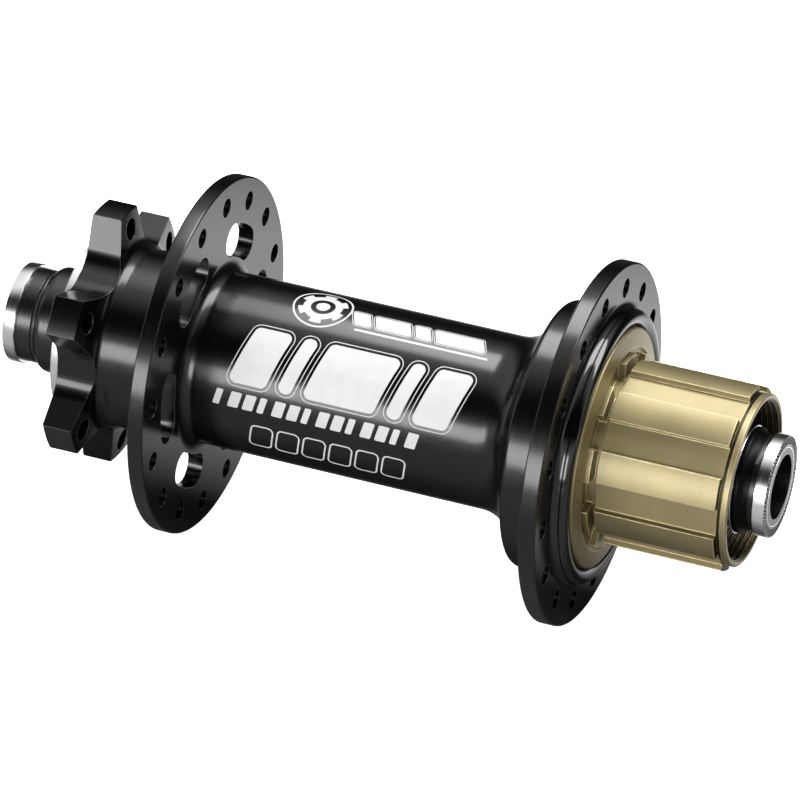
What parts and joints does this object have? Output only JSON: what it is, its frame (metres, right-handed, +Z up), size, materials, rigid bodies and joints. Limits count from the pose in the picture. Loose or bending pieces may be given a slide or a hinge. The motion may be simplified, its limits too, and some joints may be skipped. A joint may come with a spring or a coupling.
{
  "type": "bicycle rear hub",
  "caption": "Bicycle rear hub for a through axle: flanged shell with bolt-on disc mount, splined freehub with pawl ratchet, sealed bearings, end caps and knurled end rings.",
  "frame": {"origin": "on the axle's axis, midway between the two dropout faces", "axes": "+Y along the axle towards the brake disc side, +Z up, +X forwards; the freehub is at -Y"},
  "size_m": [0.068, 0.15, 0.068],
  "materials": {
    "black_anodised": "black anodised, satin gloss",
    "gold_anodised": "champagne gold anodised",
    "plated_ring": "bright plated, knurled face",
    "plain_alloy": "as machined",
    "stainless_washer": "bright stainless",
    "black_rubber": "moulded rubber",
    "bearing_steel": "ground bearing steel",
    "cage_brass": "stamped brass",
    "ratchet_steel": "hardened steel, machined",
    "spring_steel": "spring steel"
  },
  "bodies": {
    "axle_group": {"axle": "plain_alloy", "disc_end_cap": "black_anodised", "drive_end_cap": "black_anodised", "disc_end_ring": "plated_ring", "drive_end_ring": "plated_ring", "disc_cap_o_ring": "black_rubber", "drive_cap_washer": "stainless_washer", "shell_spacer": "plain_alloy", "inboard_spacer": "plain_alloy", "freehub_spacer": "plain_alloy", "disc_brg_inner": "bearing_steel", "drive_brg_inner": "bearing_steel", "inboard_brg_inner": "bearing_steel", "outboard_brg_inner": "bearing_steel"},
    "shell": {"hub_shell": "black_anodised", "drive_ring": "ratchet_steel", "freehub_seal": "black_rubber", "disc_brg_outer": "bearing_steel", "disc_brg_seals": "black_rubber", "drive_brg_outer": "bearing_steel", "drive_brg_seals": "black_rubber"},
    "freehub": {"freehub_body": "gold_anodised", "freehub_circlip": "spring_steel", "pawl_springs": "spring_steel", "inboard_brg_outer": "bearing_steel", "inboard_brg_seals": "black_rubber", "outboard_brg_outer": "bearing_steel", "outboard_brg_seals": "black_rubber"},
    "pawl_1_body": {"pawl_1": "ratchet_steel"},
    "pawl_2_body": {"pawl_2": "ratchet_steel"},
    "pawl_3_body": {"pawl_3": "ratchet_steel"},
    "pawl_4_body": {"pawl_4": "ratchet_steel"},
    "disc_brg_set": {"disc_brg_balls": "bearing_steel", "disc_brg_cage": "cage_brass"},
    "drive_brg_set": {"drive_brg_balls": "bearing_steel", "drive_brg_cage": "cage_brass"},
    "inboard_brg_set": {"inboard_brg_balls": "bearing_steel", "inboard_brg_cage": "cage_brass"},
    "outboard_brg_set": {"outboard_brg_balls": "bearing_steel", "outboard_brg_cage": "cage_brass"}
  },
  "joints": [
    {"name": "shell_spin", "type": "hinge", "parent": "axle_group", "child": "shell", "pos_m": [0, 0, 0], "axis": [0, 1, 0], "continuous": true},
    {"name": "freehub_spin", "type": "hinge", "parent": "axle_group", "child": "freehub", "pos_m": [0, -0.056, 0], "axis": [0, 1, 0], "continuous": true},
    {"name": "pawl_1_swing", "type": "hinge", "parent": "freehub", "child": "pawl_1_body", "pos_m": [0.01377, -0.0373, -0.00795], "axis": [0, -1, 0], "range_deg": [0, 15.5], "stiffness_Nm_per_rad": 0.001, "springref_deg": 15.5},
    {"name": "pawl_2_swing", "type": "hinge", "parent": "freehub", "child": "pawl_2_body", "pos_m": [-0.00795, -0.0373, -0.01377], "axis": [0, -1, 0], "range_deg": [0, 15.5], "stiffness_Nm_per_rad": 0.001, "springref_deg": 15.5},
    {"name": "pawl_3_swing", "type": "hinge", "parent": "freehub", "child": "pawl_3_body", "pos_m": [-0.01377, -0.0373, 0.00795], "axis": [0, -1, 0], "range_deg": [0, 15.5], "stiffness_Nm_per_rad": 0.001, "springref_deg": 15.5},
    {"name": "pawl_4_swing", "type": "hinge", "parent": "freehub", "child": "pawl_4_body", "pos_m": [0.00795, -0.0373, 0.01377], "axis": [0, -1, 0], "range_deg": [0, 15.5], "stiffness_Nm_per_rad": 0.001, "springref_deg": 15.5},
    {"name": "disc_brg_roll", "type": "hinge", "parent": "axle_group", "child": "disc_brg_set", "pos_m": [0, 0.0565, 0], "axis": [0, 1, 0], "continuous": true},
    {"name": "drive_brg_roll", "type": "hinge", "parent": "axle_group", "child": "drive_brg_set", "pos_m": [0, -0.026, 0], "axis": [0, 1, 0], "continuous": true},
    {"name": "inboard_brg_roll", "type": "hinge", "parent": "axle_group", "child": "inboard_brg_set", "pos_m": [0, -0.0385, 0], "axis": [0, 1, 0], "continuous": true},
    {"name": "outboard_brg_roll", "type": "hinge", "parent": "axle_group", "child": "outboard_brg_set", "pos_m": [0, -0.0585, 0], "axis": [0, 1, 0], "continuous": true}
  ],
  "couplings": [
    {"joint": "pawl_2_swing", "follows": "pawl_1_swing", "ratio": 1},
    {"joint": "pawl_3_swing", "follows": "pawl_1_swing", "ratio": 1},
    {"joint": "pawl_4_swing", "follows": "pawl_1_swing", "ratio": 1},
    {"joint": "disc_brg_roll", "follows": "shell_spin", "ratio": 0.5718},
    {"joint": "drive_brg_roll", "follows": "shell_spin", "ratio": 0.5718},
    {"joint": "inboard_brg_roll", "follows": "freehub_spin", "ratio": 0.5537},
    {"joint": "outboard_brg_roll", "follows": "freehub_spin", "ratio": 0.5537}
  ]
}
